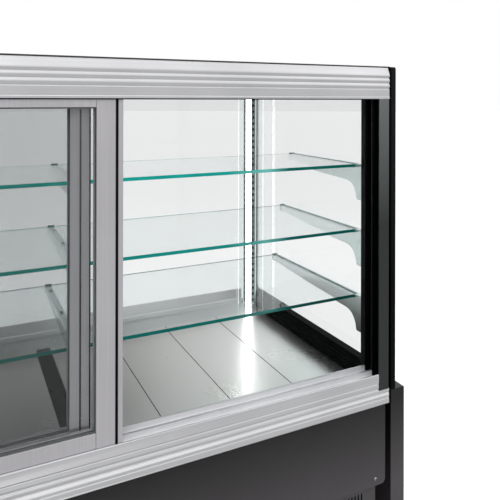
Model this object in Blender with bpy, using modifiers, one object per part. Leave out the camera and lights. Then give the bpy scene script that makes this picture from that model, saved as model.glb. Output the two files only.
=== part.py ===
"""Refrigerated bakery display case with sliding rear doors, in metres, +Z up.

The origin is on the floor under the middle of the case. The staff side is +Y and the customer side is -Y.
Left and right are as the staff see them, so the right-hand end is at -X.
A place is often given by its inset from the end of the rails (along X) or from the rear face (along Y).
"""
import math

import bmesh
import bpy

# Driving dimensions of the whole case
RAIL_LENGTH = 1.510
CASE_DEPTH = 0.775
CASE_HEIGHT = 1.350
HALF_RAIL = RAIL_LENGTH / 2
GAP = 0.0003

# Heights
CHASSIS_BOTTOM = 0.100
SHEET = 0.0015
SERVICE_BOTTOM = 0.288
SILL_BOTTOM = 0.4895
SILL_TOP = 0.5694
HEAD_BOTTOM = 1.267
HEAD_TOP = 1.347
DECK_TOP = 0.5162
BASE_TOP = 0.5227

# Depths, inset from the rear face
RAIL_DEPTH = 0.062
HEAD_DEPTH = 0.075
GRILLE_START = 0.6605
UPSTAND_FACE = 0.7460
FRONT_GLASS = 0.0080
DISPLAY_DEPTH = 0.7600

# Door tracks
TRACKS = {"right": 0.005, "left": 0.034}
DOOR_THICKNESS = 0.022
DOOR_WIDTH = 0.736
DOOR_LIFT = 0.020
DOOR_DROP = 0.008
CHANNEL_CLEARANCE = 0.001
SILL_CHANNEL = 0.012
HEAD_CHANNEL = 0.026
STILE = 0.038
GRIP_GROOVE = 0.0057
GRIP_LIP = 0.0100
DOOR_EDGE = {"right": 0.6853, "left": 0.7475}
PANE = 0.005

# Rollers
ROLLER_RADIUS = 0.009
ROLLER_WIDTH = 0.008
ROLLER_INSET = 0.110

# Uprights and ends
JAMB_INNER = 0.0326
JAMB_OUTER = 0.0020
JAMB_BOTTOM = 0.5280
JAMB_NOTCH = 0.007
END_INNER = -0.0060
END_OUTER = -0.0200
END_BORDER = 0.030
END_FRONT = 0.0060
CORNER_JOINT = -0.0135
END_PANEL_INNER = -0.0062
END_PANEL_OUTER = -0.0495

# Deck
TRAY_COUNT = 8
TRAY_PITCH = 0.1794
TRAY_START = 0.0176
TRAY_LIP = 0.015
CENTRE_WIDTH = 0.0390

# Shelves: height of the top face, depth from the rear edge
SHELVES = {"top": (1.0913, 0.340), "middle": (0.9158, 0.400), "bottom": (0.7403, 0.450)}
SHELF_GLASS = 0.008
SHELF_REAR = 0.107
SHELF_END = 0.020
ARM_INNER = 0.030
ARM_OUTER = 0.012
ARM_LIP = 0.0065
ARM_TIP = 0.024
ARM_ROOT = 0.090
ARM_MIDDLE = 0.046

# Corner lights: width along the front and depth along the end
CORNER_WIDTH = 0.052
CORNER_DEPTH = 0.042

# Rail faces: heights between the reeds, the depth of their valleys and of the flats
REED_EDGES = (0.0255, 0.0393, 0.0525, 0.0660)
REED_VALLEY = 0.0026
FACE = 0.0010

# Light switch
SWITCH_X = 0.640
SWITCH_Z = 0.400
SWITCH_WIDTH = 0.0190
SWITCH_HEIGHT = 0.0130

# Machinery
CONDENSER_X = 0.150
CONDENSER_Z = 0.1884
CONDENSER_REAR = 0.060

# Feet and fans
FOOT_PAD = 0.026
FOOT_STEM = 0.008
FOOT_X = 0.690
FOOT_INSETS = (0.080, 0.690)
FAN_RADIUS = 0.075
FAN_BLADES = 5
EVAPORATOR_FAN = (0.300, -0.0325, 0.400)

PARTS = None
CUTTERS = None


def clear_scene():
    """Remove what the scene holds, so that the script can run again."""
    for obj in list(bpy.data.objects):
        bpy.data.objects.remove(obj, do_unlink=True)


def new_collection(name):
    collection = bpy.data.collections.new(name)
    bpy.context.scene.collection.children.link(collection)
    return collection


def rear(inset):
    """The Y of a plane that is inset from the rear face."""
    return CASE_DEPTH / 2 - inset


def end_x(side, inset):
    """The X of a plane that is inset from the rails' end on one side: -1 is the right end, +1 the left."""
    return side * (HALF_RAIL - inset)


def make_material(name, colour, metallic, roughness, alpha=1.0):
    material = bpy.data.materials.new(name)
    material.use_nodes = True
    shader = material.node_tree.nodes["Principled BSDF"]
    shader.inputs["Base Color"].default_value = (*colour, 1.0)
    shader.inputs["Metallic"].default_value = metallic
    shader.inputs["Roughness"].default_value = roughness
    shader.inputs["Alpha"].default_value = alpha
    material.diffuse_color = (*colour, alpha)
    return material


def add_object(name, mesh, material, collection=None):
    """Link a mesh as a named object and give it its material."""
    obj = bpy.data.objects.new(name, mesh)
    (collection or PARTS).objects.link(obj)
    if material:
        mesh.materials.append(material)
    return obj


def box(name, xs, ys, zs, material=None, bevel=0.0, collection=None):
    """A cube primitive between pairs of coordinates, with its origin at its centre."""
    spans = [sorted(pair) for pair in (xs, ys, zs)]
    mesh = bpy.data.meshes.new(name)
    shape = bmesh.new()
    bmesh.ops.create_cube(shape, size=1.0)
    bmesh.ops.scale(shape, vec=[high - low for low, high in spans], verts=shape.verts)
    shape.to_mesh(mesh)
    shape.free()
    obj = add_object(name, mesh, material, collection)
    obj.location = [(low + high) / 2 for low, high in spans]
    if bevel:
        round_edges(obj, bevel)
    return obj


def round_edges(obj, width, segments=1):
    bevel = obj.modifiers.new("edges", "BEVEL")
    bevel.width = width
    bevel.segments = segments
    bevel.limit_method = "ANGLE"
    bevel.angle_limit = math.radians(40)
    bevel.use_clamp_overlap = True


PLANES = {"XY": (0.0, 0.0, 0.0), "XZ": (math.pi / 2, 0.0, 0.0), "YZ": (math.pi / 2, 0.0, math.pi / 2)}


def flat_curve(name, rings, thickness, fill):
    curve = bpy.data.curves.new(name, "CURVE")
    curve.dimensions = "2D"
    curve.fill_mode = fill
    curve.extrude = thickness / 2
    for ring in rings:
        spline = curve.splines.new("POLY")
        spline.points.add(len(ring) - 1)
        for point, (u, v) in zip(spline.points, ring):
            point.co = (u, v, 0.0, 1.0)
        spline.use_cyclic_u = True
    return curve


def outline(name, rings, plane, span, material=None, collection=None, fill="BOTH"):
    """Extrude flat outlines, the first outside and the rest holes, over a span across their plane."""
    low, high = sorted(span)
    obj = bpy.data.objects.new(name, flat_curve(name, rings, high - low, fill))
    PARTS.objects.link(obj)
    obj.rotation_euler = PLANES[plane]
    middle = (low + high) / 2
    obj.location = {"XY": (0, 0, middle), "XZ": (0, middle, 0), "YZ": (middle, 0, 0)}[plane]
    bpy.context.view_layer.update()
    evaluated = obj.evaluated_get(bpy.context.evaluated_depsgraph_get())
    mesh = bpy.data.meshes.new_from_object(evaluated)
    place = obj.matrix_world.copy()
    bpy.data.objects.remove(obj, do_unlink=True)
    shape = bmesh.new()
    shape.from_mesh(mesh)
    bmesh.ops.remove_doubles(shape, verts=shape.verts, dist=0.00001)
    bmesh.ops.recalc_face_normals(shape, faces=shape.faces)
    shape.to_mesh(mesh)
    shape.free()
    mesh.materials.clear()
    solid = add_object(name, mesh, material, collection)
    solid.matrix_world = place
    return solid


def combine(obj, tool, operation):
    modifier = obj.modifiers.new(tool.name, "BOOLEAN")
    modifier.operation = operation
    modifier.solver = "EXACT"
    modifier.object = tool
    tool.hide_render = True
    tool.display_type = "WIRE"


def cut_box(obj, xs, ys, zs):
    """Cut a box out of a solid."""
    number = len(CUTTERS.objects)
    combine(obj, box(f"cut_{number:02d}", xs, ys, zs, collection=CUTTERS), "DIFFERENCE")


def turned(name, profile, steps, material=None, collection=None):
    """Turn a profile of radius and height pairs, listed from top to bottom, about Z."""
    mesh = bpy.data.meshes.new(name)
    mesh.from_pydata([(r, 0.0, z) for r, z in profile], [(i, i + 1) for i in range(len(profile) - 1)], [])
    obj = add_object(name, mesh, material, collection)
    screw = obj.modifiers.new("turn", "SCREW")
    screw.axis = "Z"
    screw.steps = steps
    screw.render_steps = steps
    screw.use_merge_vertices = True
    screw.merge_threshold = 0.0001
    return obj


def rectangle(u_low, u_high, v_low, v_high):
    return [(u_low, v_low), (u_high, v_low), (u_high, v_high), (u_low, v_high)]


def arc(centre_u, centre_v, radius, start, stop, steps):
    """Points on an arc between two angles in degrees."""
    angles = [math.radians(start + (stop - start) * i / steps) for i in range(steps + 1)]
    return [(centre_u + radius * math.cos(a), centre_v + radius * math.sin(a)) for a in angles]


def reed(height_low, height_high, valley, crest, steps=6):
    """One half-round bead on a rail's face: pairs of inset and height, valley to valley."""
    points = []
    for i in range(steps + 1):
        along = i / steps
        height = height_low + (height_high - height_low) * along
        points.append((valley - (valley - crest) * math.sin(math.pi * along), height))
    return points


def to_yz(points):
    """Turn pairs of rear inset and height into Y and Z."""
    return [(rear(inset), height) for inset, height in points]


def channel_spans():
    for start in TRACKS.values():
        yield start - CHANNEL_CLEARANCE, start + DOOR_THICKNESS + CHANNEL_CLEARANCE


def head_rail(material):
    """The reeded rail over the doors, hollow, with a door channel under each track."""
    face = [(0.0, HEAD_BOTTOM), (0.0, HEAD_BOTTOM + 0.0045), (FACE, HEAD_BOTTOM + 0.0055)]
    face.append((FACE, HEAD_BOTTOM + 0.0235))
    for low, high in zip(REED_EDGES, REED_EDGES[1:]):
        bead = reed(HEAD_BOTTOM + low, HEAD_BOTTOM + high, REED_VALLEY, 0.0)
        if high == REED_EDGES[-1]:
            # The top bead runs from its crest straight into the leaning band
            bead = bead[: len(bead) // 2 + 1]
        face += bead
    face += [(FACE, HEAD_BOTTOM + 0.0635), (0.0075, HEAD_TOP), (HEAD_DEPTH, HEAD_TOP), (HEAD_DEPTH, HEAD_BOTTOM)]
    for low, high in reversed(list(channel_spans())):
        top = HEAD_BOTTOM + HEAD_CHANNEL
        face += [(high, HEAD_BOTTOM), (high, top), (low, top), (low, HEAD_BOTTOM)]
    bore = rectangle(0.011, HEAD_DEPTH - 0.003, HEAD_BOTTOM + HEAD_CHANNEL + 0.003, HEAD_TOP - 0.003)
    outline("head_rail", [to_yz(face), to_yz(bore)], "YZ", (-HALF_RAIL, HALF_RAIL), material)


def bottom_rail(material):
    """The sill: the same reeds turned over, with the two door channels in its top."""
    face = [(0.0015, SILL_BOTTOM), (0.0, SILL_BOTTOM + 0.002), (0.0, SILL_BOTTOM + 0.0130)]
    for low, high in zip(REED_EDGES, REED_EDGES[1:]):
        face += reed(SILL_BOTTOM + low - 0.010, SILL_BOTTOM + high - 0.010, REED_VALLEY - 0.0010, 0.0)
    face += [(0.0, SILL_BOTTOM + 0.0590), (0.0, SILL_TOP - 0.001), (0.001, SILL_TOP)]
    for low, high in channel_spans():
        floor = SILL_TOP - SILL_CHANNEL
        face += [(low, SILL_TOP), (low, floor), (high, floor), (high, SILL_TOP)]
    face += [(RAIL_DEPTH, SILL_TOP), (RAIL_DEPTH, SILL_BOTTOM)]
    bore = rectangle(0.005, RAIL_DEPTH - 0.003, SILL_BOTTOM + 0.003, JAMB_BOTTOM - 0.004)
    rail = outline("bottom_rail", [to_yz(face), to_yz(bore)], "YZ", (-HALF_RAIL, HALF_RAIL), material)
    for side in (-1, 1):
        notch_x = (end_x(side, -0.010), end_x(side, JAMB_INNER + GAP))
        cut_box(rail, notch_x, (rear(-0.010), rear(RAIL_DEPTH + 0.010)), (JAMB_BOTTOM - GAP, SILL_TOP + 0.010))


def rear_jamb(name, side, material):
    """An upright at the end of the door opening, with a groove for each door's edge."""
    points = [(JAMB_INNER, 0.0)]
    for low, high in channel_spans():
        points += [(JAMB_INNER, low), (JAMB_INNER - JAMB_NOTCH, low)]
        points += [(JAMB_INNER - JAMB_NOTCH, high), (JAMB_INNER, high)]
    points += [(JAMB_INNER, HEAD_DEPTH), (JAMB_OUTER, HEAD_DEPTH), (JAMB_OUTER, 0.0)]
    plan = [(end_x(side, s), rear(t)) for s, t in points]
    outline(name, [plan], "XY", (JAMB_BOTTOM, HEAD_BOTTOM - GAP), material)


def centre_frame(material):
    """The middle upright behind the doors, with a foot that runs forward between the trays."""
    post_rear, post_front = HEAD_DEPTH + 0.003, HEAD_DEPTH + 0.029
    low, top = DECK_TOP - 0.0170, 1.3190
    foot_end = GRILLE_START - GAP
    shape = [(RAIL_DEPTH + 0.001, low), (RAIL_DEPTH + 0.001, DECK_TOP), (post_rear, DECK_TOP), (post_rear, top)]
    shape += [(post_front, top), (post_front, DECK_TOP), (foot_end, DECK_TOP), (foot_end, low)]
    outline("centre_frame", [to_yz(shape)], "YZ", (-CENTRE_WIDTH / 2, CENTRE_WIDTH / 2), material)


def end_frame(name, side, material):
    """The dark border of one end: slim in front, rebated outside for its glass, notched for the front glass."""
    low, top, radius = BASE_TOP + GAP, CASE_HEIGHT - 0.001, 0.006
    corner = arc(radius, top - radius, radius, 180, 90, 4)
    ring = [(DISPLAY_DEPTH, low), (0.0, low)] + corner + [(DISPLAY_DEPTH, top)]
    hole = rectangle(END_BORDER, DISPLAY_DEPTH - END_FRONT, low + END_BORDER + 0.010, top - END_BORDER)
    span = (end_x(side, END_INNER), end_x(side, END_OUTER))
    frame = outline(name, [to_yz(ring), to_yz(hole)], "YZ", span, material)
    rebate = 0.010
    cut_box(
        frame,
        (end_x(side, END_OUTER - 0.010), end_x(side, END_OUTER + 0.0065)),
        (rear(END_BORDER - rebate), rear(DISPLAY_DEPTH - END_FRONT / 2)),
        (low + END_BORDER + 0.010 - rebate, top - END_BORDER + rebate),
    )
    notch_start = UPSTAND_FACE + SHEET
    notch_z = (low - 0.010, 1.340 + GAP)
    notch_x = (end_x(side, END_INNER + 0.010), end_x(side, CORNER_JOINT - GAP))
    cut_box(frame, notch_x, (rear(notch_start), rear(notch_start + FRONT_GLASS + 2 * GAP)), notch_z)


def side_glass(name, side, material):
    low, top, lap = BASE_TOP + GAP + END_BORDER + 0.010, CASE_HEIGHT - 0.001 - END_BORDER, 0.010 - GAP
    box(
        name,
        (end_x(side, END_OUTER + 0.0002), end_x(side, END_OUTER + 0.0062)),
        (rear(END_BORDER - lap), rear(DISPLAY_DEPTH - END_FRONT / 2 - GAP)),
        (low - lap, top + lap),
        material,
    )


def roof_panel(material):
    """The folded top sheet: a rib behind the head rail and two ribs that hold the front glass."""
    top, under = CASE_HEIGHT, HEAD_TOP + GAP
    glass_rear = UPSTAND_FACE + SHEET
    shape = [(0.006, top), (0.006, under), (HEAD_DEPTH + GAP, under)]
    shape += [(HEAD_DEPTH + GAP, 1.320), (HEAD_DEPTH + 0.0023, 1.320), (HEAD_DEPTH + 0.0023, under)]
    shape += [(glass_rear - 0.0022, under), (glass_rear - 0.0022, 1.320), (glass_rear - 0.0002, 1.320)]
    shape += [(glass_rear - 0.0002, under), (DISPLAY_DEPTH - 0.0020, under), (DISPLAY_DEPTH - 0.0020, 1.295)]
    shape += [(DISPLAY_DEPTH, 1.295), (DISPLAY_DEPTH, top - 0.003), (DISPLAY_DEPTH - 0.003, top)]
    half = HALF_RAIL - END_INNER - GAP
    outline("roof_panel", [to_yz(shape)], "YZ", (-half, half), material)


def front_glass(material):
    half = HALF_RAIL - CORNER_JOINT
    start = UPSTAND_FACE + SHEET + GAP
    box("front_glass", (-half, half), (rear(start), rear(start + FRONT_GLASS)), (BASE_TOP + GAP, 1.340), material)


def air_grille(material):
    """One folded sheet: the flat return-air grille and the upstand in front of the glass."""
    shape = [(GRILLE_START, DECK_TOP - SHEET), (GRILLE_START, DECK_TOP), (UPSTAND_FACE, DECK_TOP)]
    shape += [(UPSTAND_FACE, SILL_TOP), (UPSTAND_FACE + SHEET, SILL_TOP), (UPSTAND_FACE + SHEET, DECK_TOP - SHEET)]
    half = HALF_RAIL - TRAY_START
    sheet = outline("air_grille", [to_yz(shape)], "YZ", (-half, half), material)
    for side in (-1, 1):
        ends = (end_x(side, TRAY_START - 0.010), end_x(side, CORNER_WIDTH + 2 * GAP))
        cut_box(sheet, ends, (rear(UPSTAND_FACE - 0.002), rear(UPSTAND_FACE + 0.010)), (DECK_TOP, SILL_TOP + 0.010))


def side_rail(name, side, material):
    """The black ribbed rail at the foot of one side glass."""
    foot, head = 0.0250, 0.0186
    low, ribs = DECK_TOP + GAP, 5
    step = (SILL_TOP - 0.004 - low) / ribs
    shape = [(END_INNER + GAP, low)]
    for i in range(ribs):
        inset = foot + (head - foot) * i / ribs
        shape += [(inset, low + step * i), (inset, low + step * (i + 0.72)), (inset - 0.0022, low + step * (i + 0.86))]
    shape += [(head, SILL_TOP - 0.004), (head, SILL_TOP), (END_INNER + GAP, SILL_TOP)]
    section = [(end_x(side, s), z) for s, z in shape]
    start, stop = HEAD_DEPTH + 0.001, UPSTAND_FACE - CORNER_DEPTH - GAP
    outline(name, [section], "XZ", (rear(start), rear(stop)), material)


def corner_light(name, side, material):
    """The lamp post in a front corner, with its lit face across the corner."""
    back, end = UPSTAND_FACE + SHEET, END_INNER + GAP
    plan = [(end, back), (CORNER_WIDTH, back), (CORNER_WIDTH, back - 0.008), (end + 0.022, back - CORNER_DEPTH)]
    plan.append((end, back - CORNER_DEPTH))
    points = [(end_x(side, s), rear(t)) for s, t in plan]
    outline(name, [points], "XY", (DECK_TOP + GAP, 1.3190), material)


def deck_tray(number, x_low, material):
    """One tray of folded sheet, lying from the sill to the grille."""
    x_high = x_low + TRAY_PITCH - 0.0006
    low, under, corner = DECK_TOP - TRAY_LIP, DECK_TOP - SHEET, 0.0008
    section = [(x_low, low), (x_low, DECK_TOP - corner), (x_low + corner, DECK_TOP), (x_high - corner, DECK_TOP)]
    section += [(x_high, DECK_TOP - corner), (x_high, low), (x_high - SHEET, low), (x_high - SHEET, under)]
    section += [(x_low + SHEET, under), (x_low + SHEET, low)]
    span = (rear(RAIL_DEPTH + 0.0010), rear(GRILLE_START - 0.0006))
    outline(f"deck_tray_{number}", [section], "XZ", span, material)


def deck_trays(material):
    half_count = TRAY_COUNT // 2
    for index in range(TRAY_COUNT):
        if index < half_count:
            x_low = -HALF_RAIL + TRAY_START + TRAY_PITCH * index
        else:
            x_low = HALF_RAIL - TRAY_START - TRAY_PITCH * (TRAY_COUNT - index) + 0.0006
        deck_tray(index + 1, x_low, material)


def shelf(name, top, depth, material):
    half = HALF_RAIL - SHELF_END
    depth_span = (rear(SHELF_REAR), rear(SHELF_REAR + depth))
    box(name, (-half, half), depth_span, (top - SHELF_GLASS, top), material, bevel=0.0008)


def bracket_outline(top, depth, ledge_only):
    """The side of one cantilever arm: deep at the upright, sweeping up to a slim tip."""
    under = top - SHELF_GLASS - GAP
    root = HEAD_DEPTH + GAP
    tip = SHELF_REAR + depth - 0.006
    rise = ARM_ROOT - ARM_MIDDLE
    sweep = [
        (0.100 + 0.045 * (1 - math.cos(math.radians(a))), top - ARM_ROOT + rise * math.sin(math.radians(a)))
        for a in range(0, 91, 18)
    ]
    shape = [(root, top - ARM_ROOT - 0.004), (0.096, top - ARM_ROOT - 0.004)] + sweep
    shape += [(0.300, top - ARM_MIDDLE + 0.006), (tip - 0.003, top - ARM_TIP), (tip, top - ARM_TIP + 0.003)]
    if ledge_only:
        root = HEAD_DEPTH + 0.029 + GAP
        shape = [point for point in shape if point[0] > root + 0.004]
        shape = [(root, top - ARM_ROOT + 0.010)] + shape + [(tip, under), (root, under)]
    else:
        shape += [(tip, top + 0.0015), (root, top + 0.0015)]
    return shape


def shelf_bracket(name, xs, top, depth, material, lip=None):
    """An arm between two X values; an end arm keeps a lip outside the shelf's end."""
    arm = outline(name, [to_yz(bracket_outline(top, depth, lip is None))], "YZ", xs, material)
    if lip is not None:
        clear = top - SHELF_GLASS - GAP
        cut_box(arm, lip, (rear(SHELF_REAR - 0.0008), rear(SHELF_REAR + depth + 0.05)), (clear, top + 0.010))


def shelf_brackets(material):
    for place, (top, depth) in SHELVES.items():
        for end, side in (("right", -1), ("left", 1)):
            xs = (end_x(side, ARM_OUTER), end_x(side, ARM_INNER))
            lip = (end_x(side, ARM_OUTER + ARM_LIP), end_x(side, ARM_INNER + 0.010))
            shelf_bracket(f"bracket_{place}_{end}", xs, top, depth, material, lip)
        half = (ARM_INNER - ARM_OUTER) / 2
        shelf_bracket(f"bracket_{place}_centre", (-half, half), top, depth, material)


def door(hand, aluminium, glass, nylon):
    """A framed glass door: grip stile at the closing edge, plain meeting stile at the other."""
    start = TRACKS[hand]
    closing = -1 if hand == "right" else 1
    if hand == "right":
        x_close = -HALF_RAIL + DOOR_EDGE[hand]
        x_meet = x_close + DOOR_WIDTH
    else:
        x_meet = -HALF_RAIL + DOOR_EDGE[hand]
        x_close = x_meet + DOOR_WIDTH
    low, high = SILL_TOP - DOOR_DROP, HEAD_BOTTOM + DOOR_LIFT
    y_out, y_in = rear(start), rear(start + DOOR_THICKNESS)
    grip = GRIP_LIP + GRIP_GROOVE + STILE
    window = (x_close - closing * grip, x_meet + closing * STILE)
    window_z = (low + STILE + 0.001, high - STILE)
    frame = box(f"door_{hand}_frame", (x_close, x_meet), (y_out, y_in), (low, high), aluminium)
    cut_box(frame, window, (y_out + 0.010, y_in - 0.010), window_z)
    rebate, lap = 0.008, 0.008
    pocket = (window[0] + closing * lap, window[1] - closing * lap)
    cut_box(frame, pocket, (y_out - rebate, y_in - 0.010), (window_z[0] - lap, window_z[1] + lap))
    groove = (x_close - closing * GRIP_LIP, x_close - closing * (GRIP_LIP + GRIP_GROOVE))
    cut_box(frame, groove, (y_out + 0.010, y_out - 0.012), (low - 0.010, high + 0.010))
    edge = lap - GAP
    box(
        f"door_{hand}_glass",
        (window[0] + closing * edge, window[1] - closing * edge),
        (y_out - rebate - GAP, y_out - rebate - GAP - PANE),
        (window_z[0] - edge, window_z[1] + edge),
        glass,
    )
    wheel_z = SILL_TOP - SILL_CHANNEL + GAP + ROLLER_RADIUS
    wheel_y = (y_out + y_in) / 2
    for number, x in enumerate((x_close - closing * ROLLER_INSET, x_meet + closing * ROLLER_INSET), 1):
        half_length, half_width = ROLLER_RADIUS + 0.0015, ROLLER_WIDTH / 2 + 0.0010
        pocket_z = (low - 0.010, wheel_z + ROLLER_RADIUS + 0.0015)
        cut_box(frame, (x - half_length, x + half_length), (wheel_y - half_width, wheel_y + half_width), pocket_z)
        roller(f"door_{hand}_roller_{number}", (x, wheel_y, wheel_z), nylon)


def roller(name, centre, material):
    """A grooved nylon wheel on a Y axis."""
    half = ROLLER_WIDTH / 2
    profile = [(0.0, half), (ROLLER_RADIUS - 0.001, half), (ROLLER_RADIUS, half - 0.001)]
    profile += [(ROLLER_RADIUS, 0.001 - half), (ROLLER_RADIUS - 0.001, -half), (0.0, -half)]
    wheel = turned(name, profile, 20, material)
    wheel.rotation_euler = (math.pi / 2, 0.0, 0.0)
    wheel.location = centre


def well_tub(material):
    """The insulated tub under the trays, with a boss in its floor that carries the fan."""
    half, wall = HALF_RAIL - 0.002, 0.012
    low, top = 0.3050, DECK_TOP - 0.0175
    ys = (rear(RAIL_DEPTH + 0.001), rear(0.7565))
    tub = box("well_tub", (-half, half), ys, (low, top), material)
    inner_y = (ys[0] - wall, ys[1] + wall)
    cut_box(tub, (wall - half, half - wall), inner_y, (low + wall, top + 0.010))
    boss_top = EVAPORATOR_FAN[2] - 0.012 - GAP
    profile = [(0.0, boss_top), (0.030, boss_top), (0.045, low + 0.006), (0.0, low + 0.006)]
    boss = turned("fan_boss", profile, 16, collection=CUTTERS)
    boss.location = (EVAPORATOR_FAN[0], EVAPORATOR_FAN[1], 0.0)
    combine(tub, boss, "UNION")


def service_panel(material):
    """The lift-off rear cover: a folded sheet with round lower corners and a window for the switch."""
    half, top, radius = HALF_RAIL - 0.0090, SILL_BOTTOM - GAP, 0.012
    right = arc(-half + radius, SERVICE_BOTTOM + radius, radius, 180, 270, 4)
    left = arc(half - radius, SERVICE_BOTTOM + radius, radius, 270, 360, 4)
    ring = right + left + [(half, top), (-half, top)]
    panel = outline("service_panel", [ring], "XZ", (rear(0.0040), rear(0.0160)), material)
    inner = (rear(0.0040 + SHEET), rear(0.0300))
    cut_box(panel, (SHEET - half, half - SHEET), inner, (SERVICE_BOTTOM + SHEET, top - SHEET))
    window_x = (SWITCH_X - SWITCH_WIDTH / 2 - 0.0006, SWITCH_X + SWITCH_WIDTH / 2 + 0.0006)
    window_z = (SWITCH_Z - SWITCH_HEIGHT / 2 - 0.0010, SWITCH_Z + SWITCH_HEIGHT / 2 + 0.0010)
    cut_box(panel, window_x, (rear(0.0), rear(0.0080)), window_z)


def light_switch(material):
    """A rocker: a bent cap over a body, pivoting about X behind the cover's face."""
    half = SWITCH_HEIGHT / 2
    shape = [(0.0024, SWITCH_Z + half), (0.0034, SWITCH_Z), (0.0014, SWITCH_Z - half)]
    shape += [(0.0070, SWITCH_Z - half), (0.0110, SWITCH_Z - half * 0.6), (0.0110, SWITCH_Z + half * 0.6)]
    shape.append((0.0070, SWITCH_Z + half))
    xs = (SWITCH_X - SWITCH_WIDTH / 2, SWITCH_X + SWITCH_WIDTH / 2)
    outline("light_switch", [to_yz(shape)], "YZ", xs, material)


def louvre_panel(material):
    """The set-back lower cover, with upright air slots in front of the condenser."""
    half, top, low = HALF_RAIL - 0.0320, SERVICE_BOTTOM - 0.002, CHASSIS_BOTTOM + 0.0033
    slot, pitch, count = 0.0055, 0.0220, 62
    rings = [rectangle(-half, half, low, top)]
    for i in range(count):
        x = -half + 0.035 + pitch * i
        rings.append(rectangle(x, x + slot, low + 0.040, top - 0.012))
    outline("louvre_panel", rings, "XZ", (rear(0.0150), rear(0.0150 + SHEET)), material)


def base_end_panel(name, side, material):
    """A painted end of the base: a shallow box of folded sheet, open towards the machinery."""
    xs = (end_x(side, END_PANEL_INNER), end_x(side, END_PANEL_OUTER))
    panel = box(name, xs, (rear(0.0), rear(CASE_DEPTH)), (CHASSIS_BOTTOM, BASE_TOP), material)
    wall = 0.0020
    inner = (end_x(side, END_PANEL_INNER + 0.010), end_x(side, END_PANEL_OUTER + wall))
    cut_box(panel, inner, (rear(wall), rear(CASE_DEPTH - wall)), (CHASSIS_BOTTOM + wall, BASE_TOP - wall))


def front_panel(material):
    """The customer-side cover of the base, folded to 17 mm at its edges."""
    half, wall = HALF_RAIL - END_PANEL_INNER - 0.0010, SHEET
    low, top = CHASSIS_BOTTOM + 0.0035, BASE_TOP - 0.0005
    outer, inner = CASE_DEPTH, CASE_DEPTH - 0.0170
    panel = box("front_panel", (-half, half), (rear(outer), rear(inner)), (low, top), material)
    cut_box(panel, (wall - half, half - wall), (rear(outer - wall), rear(inner - 0.010)), (low + wall, top - wall))


def base_floor(material):
    """The chassis sheet that the machinery and the feet are fixed to."""
    half = HALF_RAIL - END_PANEL_INNER - 0.0010
    thickness = 0.0030
    zs = (CHASSIS_BOTTOM, CHASSIS_BOTTOM + thickness)
    floor = box("base_floor", (-half, half), (rear(0.0135), rear(CASE_DEPTH - 0.0030)), zs, material)
    for x, y in foot_places():
        hole = turned(f"foot_hole_{len(CUTTERS.objects):02d}", foot_hole_profile(), 16, collection=CUTTERS)
        hole.location = (x, y, CHASSIS_BOTTOM)
        combine(floor, hole, "DIFFERENCE")


def foot_places():
    return [(side * FOOT_X, rear(inset)) for side in (-1, 1) for inset in FOOT_INSETS]


def foot_hole_profile():
    radius = FOOT_STEM + 0.0005
    return [(0.0, 0.010), (radius, 0.010), (radius, -0.010), (0.0, -0.010)]


def foot(name, place, material):
    """A levelling foot: pad, cone and screw stem, with a lock nut under the chassis."""
    under, nut = CHASSIS_BOTTOM - GAP, 0.014
    profile = [(0.0, CHASSIS_BOTTOM + 0.045), (FOOT_STEM, CHASSIS_BOTTOM + 0.045), (FOOT_STEM, under)]
    profile += [(nut, under), (nut, under - 0.008), (FOOT_STEM, under - 0.008), (FOOT_STEM, 0.022)]
    profile += [(FOOT_PAD, 0.008), (FOOT_PAD, 0.0), (0.0, 0.0)]
    obj = turned(name, profile, 16, material)
    obj.location = (*place, 0.0)


def compressor(material):
    """The sealed compressor: a domed pot on the chassis."""
    base = CHASSIS_BOTTOM + 0.0030 + GAP
    profile = [(0.0, 0.168), (0.035, 0.165), (0.058, 0.152), (0.070, 0.130), (0.074, 0.100)]
    profile += [(0.074, 0.060), (0.080, 0.058), (0.080, 0.052), (0.074, 0.050), (0.070, 0.020), (0.050, 0.0), (0.0, 0.0)]
    pot = turned("compressor", profile, 20, material)
    pot.location = (-0.380, rear(0.300), base)


def condenser(material):
    """The finned coil behind the louvres: a core with upright grooves between its fins."""
    half_w, half_h, depth = 0.150, 0.0850, 0.050
    pitch, fins = 0.020, 15
    plan = [(CONDENSER_X - half_w, rear(CONDENSER_REAR + depth))]
    for i in range(fins):
        x = CONDENSER_X - half_w + pitch * i
        plan += [(x, rear(CONDENSER_REAR)), (x + pitch * 0.45, rear(CONDENSER_REAR))]
        plan += [(x + pitch * 0.45, rear(CONDENSER_REAR + 0.020)), (x + pitch, rear(CONDENSER_REAR + 0.020))]
    plan.append((CONDENSER_X + half_w, rear(CONDENSER_REAR + depth)))
    outline("condenser", [plan], "XY", (CONDENSER_Z - half_h, CONDENSER_Z + half_h), material)


def fan(name, centre, turn, material):
    """Five raked blades joined to a hub, turning about its own Z."""
    hub = turned(name, [(0.0, 0.014), (0.022, 0.014), (0.024, 0.010), (0.024, -0.012), (0.0, -0.012)], 20, material)
    for i in range(FAN_BLADES):
        mesh = bpy.data.meshes.new(f"{name}_blade")
        shape = bmesh.new()
        bmesh.ops.create_cube(shape, size=1.0)
        bmesh.ops.scale(shape, vec=(FAN_RADIUS - 0.018, 0.034, 0.0022), verts=shape.verts)
        shape.to_mesh(mesh)
        shape.free()
        blade = add_object(f"{name}_blade_{i + 1}", mesh, None, CUTTERS)
        angle = 2 * math.pi * i / FAN_BLADES
        middle = (FAN_RADIUS + 0.018) / 2
        blade.rotation_euler = (math.radians(28), 0.0, angle)
        blade.location = (middle * math.cos(angle), middle * math.sin(angle), 0.0)
        blade.parent = hub
        combine(hub, blade, "UNION")
    hub.rotation_euler = turn
    hub.location = centre


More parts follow.
